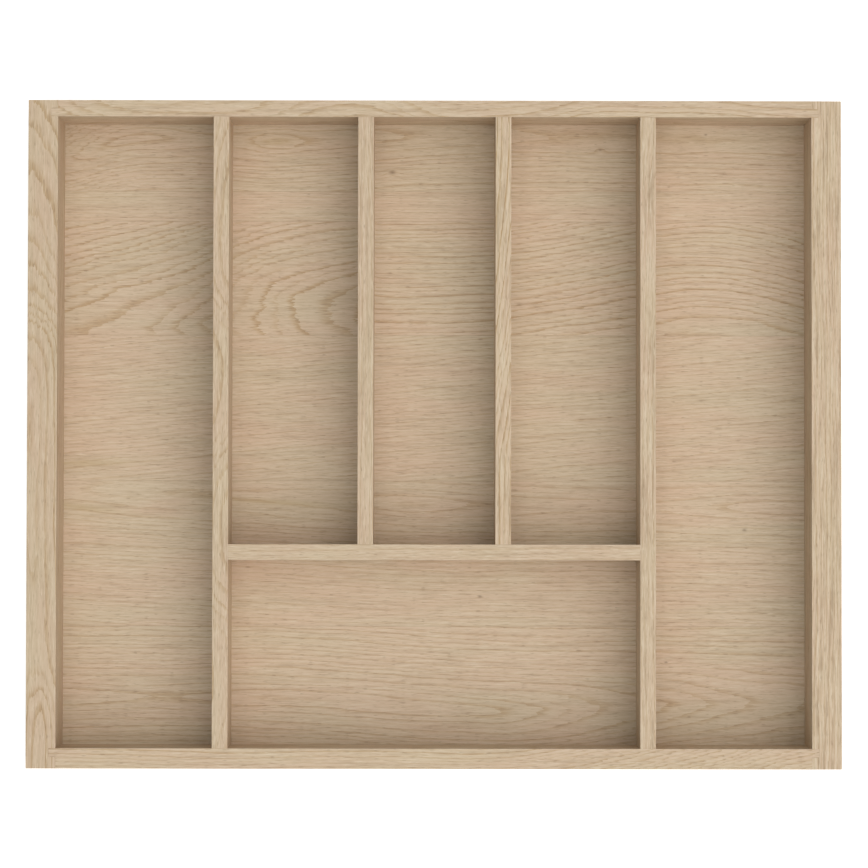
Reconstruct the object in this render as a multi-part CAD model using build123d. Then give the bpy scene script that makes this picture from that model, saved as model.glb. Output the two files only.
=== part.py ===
from build123d import *
import os

# Oak drawer insert: four rails, a floor panel let into them, and five fixed dividers.
# Millimetres. +X to the right, +Y to the back, +Z up.
# The origin is at the centre of the footprint, on the plane that the rails stand on.

# Overall size
WIDTH = 520.0
DEPTH = 427.0
HEIGHT = 52.0

# Board thicknesses
SIDE_RAIL = 19.0
BACK_RAIL = 10.5
FRONT_RAIL = 13.0
DIVIDER = 10.0
FLOOR = 4.0

# Layout, as clear widths between boards
OUTER_BAY = 99.5        # left and right compartments, across
MIDDLE_BAY = 78.0       # compartment between the two inner dividers, across
FRONT_BAY = 120.0       # front compartment, front to back

# Corner joints: a tongue on each rail end, flush with the rail's inner face
TONGUE_LENGTH = 4.5
TONGUE_THICKNESS = 5.5

# Floor panel in its groove
FLOOR_RECESS = 2.5      # from the underside of the rails up to the underside of the panel
GROOVE_DEPTH = 4.5
GROOVE_SLACK = 0.3      # gap between the panel's edge and the bottom of the groove

# Eased edges
ARRIS = 0.2             # radius along the length of a board
HAIRLINE = 0.15         # chamfer at a board's ends, so that a joint shows as a fine line
END_EDGE = 20.0         # edges shorter than this belong to a board's end

# Glued dowels, one above the other in each divider end
DOWEL_RADIUS = 2.5
DOWEL_IN_FACE = 6.0     # length in the board that the divider butts on
DOWEL_IN_END = 12.0     # length in the divider's own end
DOWEL_END_GAP = 0.5     # glue space past each end of a dowel
DOWEL_CHAMFER = 0.6
DOWEL_FROM_EDGE = 12.0  # dowel centre to the divider's top or bottom edge

# Countersunk screws, up through the floor into the dividers
SCREW_LENGTH = 16.0
SCREW_TIP = 3.0
SCREW_RADIUS = 1.5
SCREW_HEAD_RADIUS = 2.8
SCREW_HEAD_HEIGHT = 1.6
RECESS_SPAN = 3.0       # cross recess in the head, tip to tip
RECESS_WIDTH = 0.7
RECESS_DEPTH = 1.1
SCREW_FROM_END = 30.0   # outermost screws to the divider's ends

# Planes and centre lines worked out from the sizes above
INNER_X = WIDTH / 2 - SIDE_RAIL                 # inner face of the right side rail
BACK_Y = DEPTH / 2 - BACK_RAIL                  # inner face of the back rail
FRONT_Y = FRONT_RAIL - DEPTH / 2                # inner face of the front rail
FLOOR_TOP = FLOOR_RECESS + FLOOR
LONG_X = INNER_X - OUTER_BAY - DIVIDER / 2      # centre of the right divider
LONG_FACE_X = LONG_X - DIVIDER / 2              # its face towards the middle
INNER_DIVIDER_X = (MIDDLE_BAY + DIVIDER) / 2    # centre of the right inner divider
CROSS_Y = FRONT_Y + FRONT_BAY + DIVIDER / 2     # centre of the cross divider
CROSS_BACK_Y = CROSS_Y + DIVIDER / 2            # its face towards the back

LEFT = (-1, 0, 0)
RIGHT = (1, 0, 0)
BACK = (0, 1, 0)
FRONT = (0, -1, 0)


def block(corner, opposite):
    """A rectangular block between two opposite corners, given in any order."""
    size = [abs(b - a) for a, b in zip(corner, opposite)]
    middle = [(a + b) / 2 for a, b in zip(corner, opposite)]
    return Pos(*middle) * Box(*size)


def rim(board, end):
    """The edges round a board's highest (-1) or lowest (0) face."""
    return board.faces().sort_by(Axis.Z)[end].outer_wire().edges()


def eased(board, ends):
    """Break the short edges round a board's top, then round the long ones at the given ends."""
    short = [edge for edge in rim(board, -1) if edge.length < END_EDGE]
    board = chamfer(short, HAIRLINE)
    long = [edge for end in ends for edge in rim(board, end) if edge.length > END_EDGE]
    return fillet(long, ARRIS)


# Rails

def cross_rail(outer_y, inner_y):
    """Front or back rail: a body between the side rails, two tongues and a floor groove."""
    inward = 1 if inner_y > outer_y else -1
    tongue_x = INNER_X + TONGUE_LENGTH
    tongue_y = inner_y - inward * TONGUE_THICKNESS
    groove_y = inner_y - inward * GROOVE_DEPTH
    rail = block((-INNER_X, outer_y, 0), (INNER_X, inner_y, HEIGHT))
    rail += block((-tongue_x, tongue_y, 0), (tongue_x, inner_y, HEIGHT))
    rail = eased(rail, (-1, 0))
    return rail - block((-tongue_x, groove_y, FLOOR_RECESS), (tongue_x, inner_y, FLOOR_TOP))


def side_rail(side):
    """Side rail, -1 for left and +1 for right: two dadoes and a stopped floor groove."""
    inner_x = side * INNER_X
    dado_x = side * (INNER_X + TONGUE_LENGTH)
    groove_x = side * (INNER_X + GROOVE_DEPTH)
    rail = block((side * WIDTH / 2, -DEPTH / 2, 0), (inner_x, DEPTH / 2, HEIGHT))
    rail = fillet(rail.edges(), ARRIS)
    rail -= block((inner_x, BACK_Y, 0), (dado_x, BACK_Y + TONGUE_THICKNESS, HEIGHT))
    rail -= block((inner_x, FRONT_Y, 0), (dado_x, FRONT_Y - TONGUE_THICKNESS, HEIGHT))
    return rail - block(
        (inner_x, FRONT_Y - GROOVE_DEPTH, FLOOR_RECESS),
        (groove_x, BACK_Y + GROOVE_DEPTH, FLOOR_TOP),
    )


def floor_panel():
    """Veneered panel in the four grooves, short of their bottoms by the slack."""
    reach = GROOVE_DEPTH - GROOVE_SLACK
    return block(
        (-INNER_X - reach, FRONT_Y - reach, FLOOR_RECESS),
        (INNER_X + reach, BACK_Y + reach, FLOOR_TOP),
    )


# Dividers, which stand on the floor

def divider_along_y(x, front_y, back_y):
    board = block((x - DIVIDER / 2, front_y, FLOOR_TOP), (x + DIVIDER / 2, back_y, HEIGHT))
    return eased(board, (-1,))


def divider_along_x(y, left_x, right_x):
    board = block((left_x, y - DIVIDER / 2, FLOOR_TOP), (right_x, y + DIVIDER / 2, HEIGHT))
    return eased(board, (-1,))


# Joints. A joint is where a divider's end face is, and the way from it into that divider.

def dowel_rods(x, y, into_end, end_gap):
    """Two rods across a joint, longer by a gap at each end."""
    back_off = DOWEL_IN_FACE + end_gap
    length = DOWEL_IN_FACE + DOWEL_IN_END + 2 * end_gap
    rods = []
    for z in (FLOOR_TOP + DOWEL_FROM_EDGE, HEIGHT - DOWEL_FROM_EDGE):
        start = (x - into_end[0] * back_off, y - into_end[1] * back_off, z)
        along = Plane(origin=start, z_dir=into_end)
        upright = (Align.CENTER, Align.CENTER, Align.MIN)
        rods.append(along * Cylinder(DOWEL_RADIUS, length, align=upright))
    return rods


def butt_flat(x, y, into_end):
    """Square corner left on the neighbour's top, where its rounded edge stops at a divider."""
    half = DIVIDER / 2 - ARRIS
    across_x = half * abs(into_end[1])
    across_y = half * abs(into_end[0])
    return block(
        (x - across_x, y - across_y, HEIGHT - ARRIS),
        (x + across_x - into_end[0] * ARRIS, y + across_y - into_end[1] * ARRIS, HEIGHT),
    )


def dowels(x, y, into_end):
    """The two dowels of a joint, with chamfered ends."""
    return [
        chamfer(dowel.edges().filter_by(GeomType.CIRCLE), DOWEL_CHAMFER)
        for dowel in dowel_rods(x, y, into_end, 0)
    ]


# Screws, standing on their heads with the head's flat face at the origin

def screw_body():
    """Countersunk head, plain shank and point: also the shape of the hole it fills."""
    shoulder_z = SCREW_LENGTH - SCREW_TIP
    outline = Polyline(
        (0, 0),
        (SCREW_HEAD_RADIUS, 0),
        (SCREW_RADIUS, SCREW_HEAD_HEIGHT),
        (SCREW_RADIUS, shoulder_z),
        (0, SCREW_LENGTH),
        close=True,
    )
    return revolve(Plane.XZ * make_face(outline), Axis.Z)


def screw():
    """A screw with its cross recess."""
    upright = (Align.CENTER, Align.CENTER, Align.MIN)
    recess = Box(RECESS_SPAN, RECESS_WIDTH, RECESS_DEPTH, align=upright)
    recess += Box(RECESS_WIDTH, RECESS_SPAN, RECESS_DEPTH, align=upright)
    return screw_body() - recess


def spaced(low, high, count):
    """Evenly spaced places along a divider, clear of its ends."""
    first = low + SCREW_FROM_END
    step = (high - low - 2 * SCREW_FROM_END) / (count - 1)
    return [first + step * i for i in range(count)]


# The boards

boards = {
    "left_side_rail": side_rail(-1),
    "right_side_rail": side_rail(1),
    "back_rail": cross_rail(DEPTH / 2, BACK_Y),
    "front_rail": cross_rail(-DEPTH / 2, FRONT_Y),
    "base_panel": floor_panel(),
    "left_divider": divider_along_y(-LONG_X, FRONT_Y, BACK_Y),
    "right_divider": divider_along_y(LONG_X, FRONT_Y, BACK_Y),
    "cross_divider": divider_along_x(CROSS_Y, -LONG_FACE_X, LONG_FACE_X),
    "left_inner_divider": divider_along_y(-INNER_DIVIDER_X, CROSS_BACK_Y, BACK_Y),
    "right_inner_divider": divider_along_y(INNER_DIVIDER_X, CROSS_BACK_Y, BACK_Y),
}

# Each joint: the divider, the end that it is at, the board it butts on, and the place and way
joints = [
    ("left_divider", "back", "back_rail", (-LONG_X, BACK_Y, FRONT)),
    ("left_divider", "front", "front_rail", (-LONG_X, FRONT_Y, BACK)),
    ("right_divider", "back", "back_rail", (LONG_X, BACK_Y, FRONT)),
    ("right_divider", "front", "front_rail", (LONG_X, FRONT_Y, BACK)),
    ("cross_divider", "left", "left_divider", (-LONG_FACE_X, CROSS_Y, RIGHT)),
    ("cross_divider", "right", "right_divider", (LONG_FACE_X, CROSS_Y, LEFT)),
    ("left_inner_divider", "back", "back_rail", (-INNER_DIVIDER_X, BACK_Y, FRONT)),
    ("left_inner_divider", "front", "cross_divider", (-INNER_DIVIDER_X, CROSS_BACK_Y, BACK)),
    ("right_inner_divider", "back", "back_rail", (INNER_DIVIDER_X, BACK_Y, FRONT)),
    ("right_inner_divider", "front", "cross_divider", (INNER_DIVIDER_X, CROSS_BACK_Y, BACK)),
]

# Each divider's screws, as places in the underside of the floor
long_rows = spaced(FRONT_Y, BACK_Y, 4)
inner_rows = spaced(CROSS_BACK_Y, BACK_Y, 3)
screw_places = {
    "left_divider": [(-LONG_X, y) for y in long_rows],
    "right_divider": [(LONG_X, y) for y in long_rows],
    "cross_divider": [(x, CROSS_Y) for x in spaced(-LONG_FACE_X, LONG_FACE_X, 3)],
    "left_inner_divider": [(-INNER_DIVIDER_X, y) for y in inner_rows],
    "right_inner_divider": [(INNER_DIVIDER_X, y) for y in inner_rows],
}

fixings = {}
for divider, end, neighbour, joint in joints:
    boards[neighbour] += butt_flat(*joint)
    for bore in dowel_rods(*joint, DOWEL_END_GAP):
        boards[divider] -= bore
        boards[neighbour] -= bore
    fixings[f"{divider}_{end}_dowels"] = Compound(children=dowels(*joint))

for divider, places in screw_places.items():
    seats = [Pos(x, y, FLOOR_RECESS) for x, y in places]
    for seat in seats:
        boards[divider] -= seat * screw_body()
        boards["base_panel"] -= seat * screw_body()
    fixings[f"{divider}_screws"] = Compound(children=[seat * screw() for seat in seats])

os.makedirs("parts", exist_ok=True)
for name, shape in {**boards, **fixings}.items():
    export_step(shape, f"parts/{name}.step")
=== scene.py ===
import math

import bpy
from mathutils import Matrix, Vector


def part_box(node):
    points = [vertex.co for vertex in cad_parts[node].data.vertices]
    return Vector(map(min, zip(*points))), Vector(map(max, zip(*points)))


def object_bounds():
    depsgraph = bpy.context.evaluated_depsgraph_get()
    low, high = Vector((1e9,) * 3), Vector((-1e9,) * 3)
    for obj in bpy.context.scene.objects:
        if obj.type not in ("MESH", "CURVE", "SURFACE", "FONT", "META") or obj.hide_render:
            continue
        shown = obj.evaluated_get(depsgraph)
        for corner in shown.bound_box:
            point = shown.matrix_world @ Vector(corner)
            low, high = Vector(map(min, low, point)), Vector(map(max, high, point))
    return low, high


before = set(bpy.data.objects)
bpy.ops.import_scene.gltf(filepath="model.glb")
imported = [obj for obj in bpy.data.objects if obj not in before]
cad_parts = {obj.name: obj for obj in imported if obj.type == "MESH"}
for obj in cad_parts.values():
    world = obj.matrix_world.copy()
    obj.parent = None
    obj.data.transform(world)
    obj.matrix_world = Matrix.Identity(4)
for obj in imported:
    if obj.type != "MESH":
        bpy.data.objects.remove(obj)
cad_low, cad_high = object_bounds()

TOP = cad_high.z
MM = 1000.0        # millimetres in a metre: the wood is worked out in millimetres


# Shader arithmetic: a Value stands for the output of a shader node.

class Value:
    def __init__(self, graph, socket):
        self.graph = graph
        self.socket = socket

    def __add__(self, other):
        return self.graph.math("ADD", self, other)

    def __sub__(self, other):
        return self.graph.math("SUBTRACT", self, other)

    def __rsub__(self, other):
        return self.graph.math("SUBTRACT", other, self)

    def __mul__(self, other):
        return self.graph.math("MULTIPLY", self, other)

    def __truediv__(self, other):
        return self.graph.math("DIVIDE", self, other)

    __radd__ = __add__
    __rmul__ = __mul__


class Graph:
    """The node tree of one material."""

    def __init__(self, material):
        material.use_nodes = True
        self.tree = material.node_tree
        self.shader = self.tree.nodes["Principled BSDF"]

    def node(self, kind, **settings):
        node = self.tree.nodes.new(kind)
        for name, setting in settings.items():
            setattr(node, name, setting)
        return node

    def feed(self, socket, source):
        if isinstance(source, Value):
            self.tree.links.new(source.socket, socket)
        else:
            socket.default_value = source

    def math(self, operation, *sources):
        node = self.node("ShaderNodeMath", operation=operation)
        for socket, source in zip(node.inputs, sources):
            self.feed(socket, source)
        return Value(self, node.outputs[0])

    def step(self, value, low, high):
        """0 below low, 1 above high, smooth between; low may be above high."""
        node = self.node("ShaderNodeMapRange", interpolation_type="SMOOTHSTEP")
        self.feed(node.inputs["Value"], value)
        self.feed(node.inputs["From Min"], low)
        self.feed(node.inputs["From Max"], high)
        return Value(self, node.outputs["Result"])

    def vector(self, *parts):
        node = self.node("ShaderNodeCombineXYZ")
        for socket, part in zip(node.inputs, parts):
            self.feed(socket, part)
        return Value(self, node.outputs[0])

    def noise(self, parts, detail=2.0, roughness=0.5):
        """Noise from 0 to 1, averaging a half, over up to three coordinates."""
        parts = list(parts) + [0.0] * (3 - len(parts))
        node = self.node("ShaderNodeTexNoise")
        self.feed(node.inputs["Vector"], self.vector(*parts))
        node.inputs["Scale"].default_value = 1.0
        node.inputs["Detail"].default_value = detail
        node.inputs["Roughness"].default_value = roughness
        return Value(self, node.outputs["Fac"])

    def random(self, value):
        """A number from 0 to 1 that is the same for the same value."""
        node = self.node("ShaderNodeTexWhiteNoise", noise_dimensions="1D")
        self.feed(node.inputs["W"], value)
        return Value(self, node.outputs["Value"])

    def grain_noise(self, place, size, detail, roughness=0.5):
        """Noise whose grains are as long as size says, in each of the directions of place."""
        parts = [value / length for value, length in zip(place, size)]
        return self.noise(parts, detail, roughness)

    def curve(self, value, points, low, high):
        """Smooth curve through points: places from -REACH to REACH, heights from low to high."""
        node = self.node("ShaderNodeFloatCurve")
        self.feed(node.inputs["Value"], (value + REACH) / (2.0 * REACH))
        line = node.mapping.curves[0]
        spots = [((place + REACH) / (2.0 * REACH), (height - low) / (high - low))
                 for place, height in points]
        for spot in spots[1:-1]:
            line.points.new(*spot)
        line.points[0].location = spots[0]
        line.points[-1].location = spots[-1]
        for point in line.points:
            point.handle_type = "AUTO_CLAMPED"
        node.mapping.update()
        return Value(self, node.outputs[0]) * (high - low) + low

    def ellipse(self, run, rise, half_length, half_width):
        """0 at the centre of an ellipse, 1 on its outline, growing as the square of distance."""
        run = run / half_length
        rise = rise / half_width
        return run * run + rise * rise

    def spot(self, ellipse, fall=1.0):
        """1 at the centre of an ellipse, falling away smoothly outwards."""
        return self.math("EXPONENT", ellipse * -fall)

    def blend(self, amount, first, second):
        """Colour that goes from first to second as amount goes from 0 to 1."""
        node = self.node("ShaderNodeMix", data_type="RGBA", clamp_factor=True)
        self.feed(node.inputs[0], amount)
        self.feed(node.inputs[6], first)
        self.feed(node.inputs[7], second)
        return Value(self, node.outputs[2])

    def position(self):
        """The surface point's place in the frame, in millimetres."""
        place = self.node("ShaderNodeTexCoord")
        split = self.node("ShaderNodeSeparateXYZ")
        self.tree.links.new(place.outputs["Object"], split.inputs[0])
        return [Value(self, out) * MM for out in split.outputs]


# Oak. A board is cut out of a log: growth rings lie round a pith line that runs along the grain
# and wanders. The same formula gives long grain on the faces and rings on the end grain.

PALE = (0.640, 0.520, 0.375, 1.0)       # bright fibres
BROWN = (0.345, 0.238, 0.142, 1.0)      # dark fibres
EARLY = (0.410, 0.255, 0.115, 1.0)      # early wood
PORE = (0.235, 0.155, 0.090, 1.0)       # open vessels
OCHRE = (0.450, 0.330, 0.170, 1.0)      # mineral streaks
KNOT = (0.150, 0.085, 0.042, 1.0)
WORN_AND_HIGHLIGHT = (0.660, 0.525, 0.390, 1.0)       # paler where the finish is rubbed thin along the edges, and partly a painted highlight on the arrises

# Each wood varies between a pinker and a yellower tint.
SOLID_TINTS = ((0.581, 0.418, 0.288), (0.568, 0.431, 0.288))
VENEER_TINTS = ((0.590, 0.430, 0.301), (0.564, 0.440, 0.302))

# Dowels and screws.
BEECH_LIGHT = (0.590, 0.410, 0.262, 1.0)
BEECH_DARK = (0.500, 0.330, 0.200, 1.0)
BEECH_RAY = (0.300, 0.165, 0.085, 1.0)
ZINC_BRIGHT = (0.640, 0.645, 0.640, 1.0)
ZINC_DULL = (0.430, 0.430, 0.400, 1.0)

# Sizes of the grain's features in millimetres: along the grain, across it and downwards.
TEETH_SIZE = (14.0, 1.1, 1.1)           # the ragged edges of rings that cross the surface
WAVE_SIZE = (60.0, 11.0, 11.0)          # waves in the rings
PATCH_SIZE = (80.0, 16.0, 16.0)
STREAK_SIZE = (50.0, 2.4, 2.4)
FIBRE_SIZE = (10.0, 0.62, 0.62)
VESSEL_SIZE = (6.0, 0.5, 0.5)
RAY_SIZE = (9.0, 1.3, 5.0)
BEECH_TONE_SIZE = (30.0, 2.5, 2.5)
BEECH_RAY_SIZE = (1.5, 0.3, 0.3)

# Sizes of other features in millimetres, along X, Y and Z.
WEAR_AND_HIGHLIGHT_SIZE = (24.0, 24.0, 24.0)          # patches of wear and painted highlight along a board's edges
CLOUD_SIZE = (1.6, 1.6, 1.6)            # dull clouds in the zinc
SCRATCH_SIZE = (0.15, 0.9, 0.15)

TEETH_REACH = 9.0                       # millimetres that the teeth are drawn out by
WAVE_HEIGHT = 4.0                       # millimetres that the rings wave by
EARLY_PART = (0.45, 0.02)               # parts of a ring where early wood has gone, and is full
VESSEL_OPEN = (0.31, 0.22)              # noise where a vessel starts to open, and is full
WEAR_AND_HIGHLIGHT_WIDTH = (0.7, 0.15)                # millimetres from an edge where wear and painted highlight start, and are full

# How strongly each feature colours the wood.
EARLY_STRENGTH = 0.6
STREAK_STRENGTH = 0.5
DARK_FIBRE_STRENGTH = 0.46
PALE_FIBRE_STRENGTH = 0.74
PORE_STRENGTH = 0.38
# The paler edges are partly worn finish and partly a painted highlight on the arrises.
WEAR_AND_HIGHLIGHT_STRENGTH = 0.25
WEAR_ROUGHNESS = 0.12                   # roughness added by wear

BUMP_STRENGTH = 0.35
BUMP_DEPTH = 0.1                        # millimetres
GLOSS = 0.3                             # specular level; a half is what glass has


def teeth(graph, place):
    """How far the rings are drawn out along the grain, which gives crossing rings ragged edges."""
    return (graph.grain_noise(place, TEETH_SIZE, 1.0) - 0.5) * TEETH_REACH


def early_wood(graph, place, radius, spacing, figure):
    """How much early wood there is: full at the start of a ring, then fading out."""
    waves = graph.grain_noise(place, WAVE_SIZE, 2.0) - 0.5
    rings = (radius + waves * WAVE_HEIGHT) / spacing
    # Good and bad years: the sines make some rings wide and some narrow.
    rings = rings + graph.math("SINE", rings * 1.7) * 0.18 + graph.math("SINE", rings * 0.61) * 0.22
    strength = graph.random(graph.math("FLOOR", rings)) * 0.6 + 0.4
    return graph.step(graph.math("FRACT", rings), *EARLY_PART) * strength * figure


def oak(graph, place, radius, spacing, tints, figure, streaks, silk=1.0, fleck=0.0):
    """Colour, roughness and bump of oak from its place in the grain and distance from the pith."""
    early = early_wood(graph, place, radius, spacing, figure)
    patch = graph.grain_noise(place, PATCH_SIZE, 1.0)
    streak = graph.grain_noise(place, STREAK_SIZE, 1.0)
    fibre = graph.grain_noise(place, FIBRE_SIZE, 2.0, 0.6)
    vessel = graph.grain_noise(place, VESSEL_SIZE, 0.0)
    pore = graph.step(vessel - early * 0.1, *VESSEL_OPEN)

    colour = graph.blend(graph.step(patch, 0.3, 0.7), *((*tint, 1.0) for tint in tints))
    colour = graph.blend(early * EARLY_STRENGTH, colour, EARLY)
    streaks = streaks * STREAK_STRENGTH
    colour = graph.blend(graph.step(streak, 0.45, 0.8) * streaks, colour, BROWN)
    colour = graph.blend(graph.step(streak, 0.5, 0.2) * streaks, colour, PALE)
    dark_fibres = graph.step(fibre, 0.5, 0.2) * (DARK_FIBRE_STRENGTH * silk)
    pale_fibres = graph.step(fibre, 0.5, 0.8) * (PALE_FIBRE_STRENGTH * silk)
    colour = graph.blend(dark_fibres, colour, BROWN)
    colour = graph.blend(pale_fibres, colour, PALE)
    if fleck:
        ray = graph.grain_noise(place, RAY_SIZE, 1.0)
        colour = graph.blend(graph.step(ray, 0.55, 0.75) * fleck, colour, PALE)
    colour = graph.blend(pore * PORE_STRENGTH, colour, PORE)
    rough = 0.5 + pore * 0.2 + early * 0.06
    height = fibre * 0.3 - graph.step(vessel, *VESSEL_OPEN) * 0.7
    return colour, rough, height


def edge_wear_and_highlight(graph, place, low, high):
    """1 on worn edges, which also carry a painted highlight, and 0 elsewhere: an edge is where two
    faces of a board's box are close.
    """
    close = []
    for value, start, end in zip(place, low * MM, high * MM):
        off = graph.math("MINIMUM", value - start, end - value)
        close.append(graph.step(off, *WEAR_AND_HIGHLIGHT_WIDTH))
    first, second, third = close
    edges = graph.math("MAXIMUM", first * second, first * third)
    edges = graph.math("MAXIMUM", edges, second * third)
    patches = graph.grain_noise(place, WEAR_AND_HIGHLIGHT_SIZE, 2.0)
    return edges * graph.step(patches, 0.35, 0.65)


def finish_material(graph, colour, rough, height):
    """Feeds the shader, with a low gloss and a fine bump from height."""
    bump = graph.node("ShaderNodeBump")
    bump.inputs["Strength"].default_value = BUMP_STRENGTH
    bump.inputs["Distance"].default_value = BUMP_DEPTH / MM
    graph.feed(bump.inputs["Height"], height)
    graph.feed(graph.shader.inputs["Base Color"], colour)
    graph.feed(graph.shader.inputs["Roughness"], rough)
    graph.feed(graph.shader.inputs["Normal"], Value(graph, bump.outputs["Normal"]))
    graph.shader.inputs["Specular IOR Level"].default_value = GLOSS


# How each piece of wood was cut out of its log. axis is where across the piece the figure is
# centred and depth how far the log's centre lies under its top face, both as curves of (place
# along the grain, value): where depth changes, the rings close into arches. spacing is a ring's
# width. figure is how strong the rings look, streaks how strong the long streaks, silk the fibres
# and fleck the rays; tone is how bright the board is.

REACH = 262.0                           # places along the grain run from -REACH to REACH
LOWEST, HIGHEST = -220.0, 220.0         # limits of axis
DEEPEST = 90.0                          # limit of depth
LOG_STEP = 370.0                        # how far apart in the log two boards are cut
LEAF_STEP = 211.0                       # how far apart in the log two leaves are cut
BOARD_DRIFT = 5.0                       # how much a board's pith wanders besides its curves
DRIFT_LENGTH = 90.0                     # length of those wanderings along the grain
DRIFT_STEP = 7.3                        # sets each board's wanderings apart from the others'
VENEER_DRIFT = 1.8
VENEER_DRIFT_SIZE = (60.0, 50.0)

BOARDS = {
    "left_side_rail": dict(
        grain="Y", spacing=3.0, figure=1.3, tone=0.965, streaks=0.5, silk=1.25, fleck=0.0,
        axis=[(-262, -2), (-190, -1), (-120, -3), (-20, -9), (100, -8), (262, -9)],
        depth=[(-262, 3), (-190, 4), (-130, 14), (-10, 9), (40, 10), (92, 28), (150, 37), (262, 50)]),
    "right_side_rail": dict(
        grain="Y", spacing=2.3, figure=1.25, tone=1.0, streaks=1.5, silk=1.6, fleck=0.2,
        axis=[(-262, 72), (0, 74), (262, 70)], depth=[(-262, 8), (262, 5)]),
    "back_rail": dict(
        grain="X", spacing=2.8, figure=1.1, tone=0.985, streaks=0.8, silk=1.35, fleck=0.35,
        axis=[(-262, 12), (0, 20), (262, 26)],
        depth=[(-262, 44), (-150, 30), (-60, 38), (30, 24), (120, 34), (262, 22)]),
    "front_rail": dict(
        grain="X", spacing=2.7, figure=1.3, tone=0.98, streaks=0.7, silk=1.3, fleck=0.15,
        axis=[(-262, -110), (40, -112), (120, -97), (262, -58)], depth=[(-262, 12), (262, 8)]),
    "left_divider": dict(
        grain="Y", spacing=2.9, figure=1.1, tone=0.97, streaks=0.7, silk=1.5, fleck=0.35,
        axis=[(-262, 9), (262, 14)],
        depth=[(-262, 20), (-150, 34), (-60, 22), (40, 36), (120, 24), (262, 34)]),
    "right_divider": dict(
        grain="Y", spacing=2.5, figure=1.0, tone=0.985, streaks=1.3, silk=1.65, fleck=0.3,
        axis=[(-262, 52), (0, 48), (262, 56)], depth=[(-262, 10), (262, 20)]),
    "cross_divider": dict(
        grain="X", spacing=2.4, figure=0.8, tone=0.97, streaks=0.7, silk=1.5, fleck=0.2,
        axis=[(-262, -84), (262, -78)], depth=[(-262, 10), (262, 16)]),
    "left_inner_divider": dict(
        grain="Y", spacing=2.6, figure=0.95, tone=0.96, streaks=0.9, silk=1.45, fleck=0.3,
        axis=[(-262, -54), (60, -50), (262, -58)], depth=[(-262, 18), (262, 12)]),
    "right_inner_divider": dict(
        grain="Y", spacing=3.1, figure=1.9, tone=1.02, streaks=1.3, silk=1.5, fleck=0.25,
        axis=[(-262, -82), (-20, -78), (120, -56), (262, -48)], depth=[(-262, 9), (262, 9)]),
}

# The floor's veneer leaves, from the back to the front; front is a leaf's front edge.
LEAVES = [
    dict(front=159.4, spacing=2.6, figure=0.9,
         axis=[(-262, 172), (-185, 194), (-103, 192), (0, 197), (262, 194)],
         depth=[(-262, 13), (-190, 4), (-145, 6.5), (-122, 5), (-103, 1.5), (-84, 5), (-45, 6),
                (60, 12), (262, 14)]),
    dict(front=139.8, spacing=2.2, figure=0.7,
         axis=[(-262, 198), (262, 196)],
         depth=[(-262, 3), (262, 6)]),
    dict(front=65.5, spacing=3.0, figure=1.35,
         axis=[(-262, 55), (-180, 68), (-110, 79), (-50, 80), (-38, 45), (39, 46), (141, 63),
               (173, 66), (262, 50)],
         depth=[(-262, 74), (-150, 64), (-131, 60), (-71, 48), (-50, 45), (-38, 25), (262, 25)]),
    dict(front=-29.4, spacing=2.7, figure=0.78,
         axis=[(-262, 122), (262, 172)],
         depth=[(-262, 6), (262, 9)]),
    dict(front=-123.8, spacing=2.9, figure=0.78,
         axis=[(-262, -33), (-150, -38), (-12, -44), (200, -46), (262, -47)],
         depth=[(-262, 13), (-200, 10), (-60, 6), (-12, 2), (40, 6), (140, 8), (200, 4), (262, 3)]),
    dict(front=-213.5, spacing=3.1, figure=0.95,
         axis=[(-262, -170), (-131, -170), (60, -179), (110, -177), (200, -173), (262, -172)],
         depth=[(-262, 2), (-180, 6), (-100, 3), (40, 5), (63, 8), (108, 15), (171, 22), (262, 29)]),
]

VENEER_STREAKS = 0.5
VENEER_SILK = 1.25
SEAM_WIDTH = (0.5, 0.1)     # millimetres from a seam where its dark line starts, and is full
MINERAL_STRENGTH = 0.45
KNOT_STRENGTH = 0.55
SEAM_STRENGTH = 0.3
KNOT_STRETCH = 1.7          # how much longer a knot is along the grain than across it
BULGE_FALL = 0.12           # how fast the rings' bulge round a knot falls away
BULGE_HEIGHT = 2.0          # how far the rings bulge, in sizes of the knot

# Pin knots: place and size. Mineral streaks: place, half length, half width and slope.
KNOTS = [(-27.6, 172.0, 1.1), (108.0, 187.0, 0.7), (177.0, 197.0, 0.6), (202.0, -61.0, 0.8),
         (30.0, -104.5, 0.8), (151.0, -147.0, 0.6)]
STREAKS = [(-225.0, -18.0, 30.0, 2.2, 0.02), (-235.0, -46.0, 40.0, 2.0, -0.12),
           (-105.0, -43.0, 45.0, 1.8, -0.06), (-103.0, 192.0, 13.0, 2.4, 0.05)]


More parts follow.
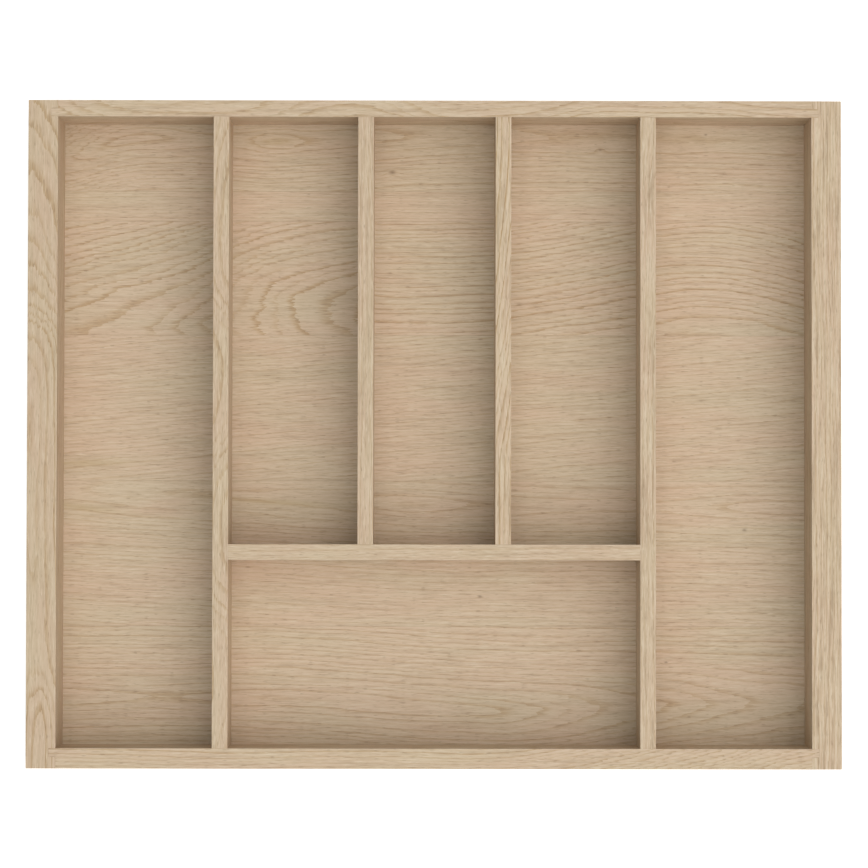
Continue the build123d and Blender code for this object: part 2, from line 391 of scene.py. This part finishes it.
def board_material(node, wood, number):
    """Solid oak for one board."""
    material = bpy.data.materials.new("oak_" + node)
    graph = Graph(material)
    low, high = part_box(node)
    centre = (low + high) / 2 * MM
    x, y, z = graph.position()
    along, across = (x, y - centre.y) if wood["grain"] == "X" else (y, x - centre.x)
    deep = z - high.z * MM
    place = (along + number * LOG_STEP, across, deep)
    drawn = along + teeth(graph, place)
    drift = (graph.noise((drawn / DRIFT_LENGTH, number * DRIFT_STEP), 1.0) - 0.5) * BOARD_DRIFT
    from_axis = across - graph.curve(drawn, wood["axis"], LOWEST, HIGHEST) - drift
    under = deep + graph.curve(drawn, wood["depth"], 0.0, DEEPEST) + drift
    radius = graph.math("SQRT", from_axis * from_axis + under * under)
    tints = [[part * wood["tone"] for part in tint] for tint in SOLID_TINTS]
    colour, rough, height = oak(graph, place, radius, wood["spacing"], tints, wood["figure"],
                                wood["streaks"], wood["silk"], wood["fleck"])
    # Edges are painted paler: partly worn finish, partly a painted highlight where light catches the
    # arrises.
    wear_and_highlight = edge_wear_and_highlight(graph, (x, y, z), low, high)
    colour = graph.blend(wear_and_highlight * WEAR_AND_HIGHLIGHT_STRENGTH, colour, WORN_AND_HIGHLIGHT)
    finish_material(graph, colour, rough + wear_and_highlight * WEAR_ROUGHNESS, height)
    return material


def select_leaf(graph, y, values):
    """The value that belongs to the leaf y is in; values run from the back leaf to the front."""
    chosen = values[0]
    for leaf, before, value in zip(LEAVES, values, values[1:]):
        past = graph.math("LESS_THAN", y, leaf["front"])
        chosen = chosen + past * (value - before)
    return chosen


def veneer_marks(graph, x, y):
    """Knots, the rings' bulge round them, mineral streaks and seams between leaves."""
    knots = bulge = streaks = seams = 0.0
    for knot_x, knot_y, size in KNOTS:
        away = graph.ellipse(x - knot_x, y - knot_y, size * KNOT_STRETCH, size)
        knots = graph.spot(away) + knots
        bulge = graph.spot(away, BULGE_FALL) * (size * BULGE_HEIGHT) + bulge
    for place_x, place_y, length, width, slope in STREAKS:
        run = x - place_x
        streaks = graph.spot(graph.ellipse(run, y - place_y - run * slope, length, width)) + streaks
    for leaf in LEAVES[:-1]:
        off = graph.math("ABSOLUTE", y - leaf["front"])
        seams = graph.step(off, *SEAM_WIDTH) + seams
    return knots, bulge, streaks, seams


def veneer_material():
    """Oak veneer for the floor panel, laid as leaves side by side with the grain along X."""
    material = bpy.data.materials.new("oak_veneer")
    graph = Graph(material)
    x, y, z = graph.position()
    drawn = x + teeth(graph, (x, y, z))
    axes = [graph.curve(drawn, leaf["axis"], LOWEST, HIGHEST) for leaf in LEAVES]
    depths = [graph.curve(drawn, leaf["depth"], 0.0, DEEPEST) for leaf in LEAVES]
    drift = (graph.grain_noise((drawn, y), VENEER_DRIFT_SIZE, 1.0) - 0.5) * VENEER_DRIFT
    across = y - select_leaf(graph, y, axes)
    depth = select_leaf(graph, y, depths) + drift
    knots, bulge, streaks, seams = veneer_marks(graph, x, y)
    radius = graph.math("SQRT", across * across + depth * depth) + bulge
    spacing = select_leaf(graph, y, [leaf["spacing"] for leaf in LEAVES])
    figure = select_leaf(graph, y, [leaf["figure"] for leaf in LEAVES])
    grain_x = x + select_leaf(graph, y, [LEAF_STEP * number for number in range(len(LEAVES))])
    colour, rough, height = oak(graph, (grain_x, y, z), radius, spacing, VENEER_TINTS, figure,
                                VENEER_STREAKS, VENEER_SILK)
    colour = graph.blend(streaks * MINERAL_STRENGTH, colour, OCHRE)
    colour = graph.blend(knots * KNOT_STRENGTH, colour, KNOT)
    colour = graph.blend(seams * SEAM_STRENGTH, colour, BROWN)
    finish_material(graph, colour, rough, height)
    return material


def beech_material(grain):
    """Dowels: fine, even wood with short dark ray flecks along the grain."""
    material = bpy.data.materials.new("beech_along_" + grain.lower())
    graph = Graph(material)
    x, y, z = graph.position()
    place = (x, y, z) if grain == "X" else (y, x, z)
    tone = graph.grain_noise(place, BEECH_TONE_SIZE, 2.0)
    rays = graph.step(graph.grain_noise(place, BEECH_RAY_SIZE, 1.0), 0.55, 0.68)
    colour = graph.blend(graph.step(tone, 0.3, 0.7), BEECH_LIGHT, BEECH_DARK)
    colour = graph.blend(rays * 0.6, colour, BEECH_RAY)
    finish_material(graph, colour, 0.62 + rays * 0.12, tone * 0.6 - rays * 0.4)
    return material


def zinc_material():
    """Screws: bright zinc plate, clouded, with fine scratches."""
    material = bpy.data.materials.new("zinc")
    graph = Graph(material)
    place = graph.position()
    cloud = graph.step(graph.grain_noise(place, CLOUD_SIZE, 3.0), 0.35, 0.65)
    scratch = graph.step(graph.grain_noise(place, SCRATCH_SIZE, 1.0), 0.6, 0.75)
    colour = graph.blend(cloud, ZINC_BRIGHT, ZINC_DULL)
    rough = 0.27 + cloud * 0.14 + scratch * 0.15
    height = cloud * 0.2 - scratch * 0.5
    graph.shader.inputs["Metallic"].default_value = 1.0
    finish_material(graph, colour, rough, height)
    return material


def set_material(node, material):
    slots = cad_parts[node].data.materials
    slots.clear()
    slots.append(material)


def dress_parts():
    """Oak for the boards and the floor; the dowels lie along their divider's grain."""
    for number, (node, wood) in enumerate(BOARDS.items(), 1):
        set_material(node, board_material(node, wood, number))
    set_material("base_panel", veneer_material())
    beech = {grain: beech_material(grain) for grain in ("X", "Y")}
    zinc = zinc_material()
    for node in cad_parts:
        divider = node[:node.find("divider") + len("divider")]
        if node.endswith("_dowels"):
            set_material(node, beech[BOARDS[divider]["grain"]])
        if node.endswith("_screws"):
            set_material(node, zinc)


# Camera: almost straight above, a little in front of the centre, through a long lens.

def make_camera():
    camera = bpy.data.objects.new("camera", bpy.data.cameras.new("camera"))
    camera.data.sensor_width = 36.0
    camera.data.lens = 147.0
    camera.location = (-0.0054, -0.0652, TOP + 2.2617)
    camera.rotation_euler = [math.radians(angle) for angle in (1.650, -0.134, 0.088)]
    camera.data.clip_end = 50.0
    bpy.context.scene.collection.objects.link(camera)
    bpy.context.scene.camera = camera


# Light: a very large soft box high at the front right, smaller ones above and behind, a weak cool
# one at the front left, in a pale surround. Each lamp faces the object, and has a place and a size
# in metres, a power in watts and a colour.

WARM = (1.0, 0.952, 0.935)
NEUTRAL = (1.0, 1.0, 0.990)
COOL = (0.882, 0.980, 1.0)
LIGHTS = {
    "key": ((3.6, -3.7, 6.0), 10.8, 494.0, WARM),
    "above": ((0.0, 0.0, 6.0), 3.6, 65.0, NEUTRAL),
    "behind": ((3.0, 3.6, 5.6), 4.2, 89.0, WARM),
    "fill": ((-2.6, -3.4, 5.6), 4.2, 32.0, COOL),
}
SURROUND = (0.87, 1.0, 1.03, 1.0)
SURROUND_STRENGTH = 0.42


def make_light(name, place, size, power, colour):
    lamp = bpy.data.lights.new(name, "AREA")
    lamp.color = colour
    lamp.size = size
    lamp.energy = power
    light = bpy.data.objects.new(name, lamp)
    light.location = place
    light.rotation_euler = (-light.location).to_track_quat("-Z", "Y").to_euler()
    bpy.context.scene.collection.objects.link(light)


def make_surround():
    world = bpy.data.worlds.new("surround")
    bpy.context.scene.world = world
    world.use_nodes = True
    background = world.node_tree.nodes["Background"]
    background.inputs["Color"].default_value = SURROUND
    background.inputs["Strength"].default_value = SURROUND_STRENGTH


def make_floor():
    """White paper, bright enough to show no shadow, just below the object."""
    half = 15.0
    corners = [(-half, -half, 0), (half, -half, 0), (half, half, 0), (-half, half, 0)]
    mesh = bpy.data.meshes.new("floor")
    mesh.from_pydata(corners, [], [(0, 1, 2, 3)])
    paper = bpy.data.materials.new("paper")
    shader = Graph(paper).shader
    shader.inputs["Base Color"].default_value = (0.9, 0.9, 0.9, 1.0)
    shader.inputs["Roughness"].default_value = 0.9
    shader.inputs["Emission Color"].default_value = (1.0, 1.0, 1.0, 1.0)
    shader.inputs["Emission Strength"].default_value = 0.5
    mesh.materials.append(paper)
    floor = bpy.data.objects.new("floor", mesh)
    floor.location.z = cad_low.z - 0.0001
    bpy.context.scene.collection.objects.link(floor)


dress_parts()
make_camera()
for name, lamp in LIGHTS.items():
    make_light(name, *lamp)
make_surround()
make_floor()
bpy.context.scene.view_settings.view_transform = "Standard"
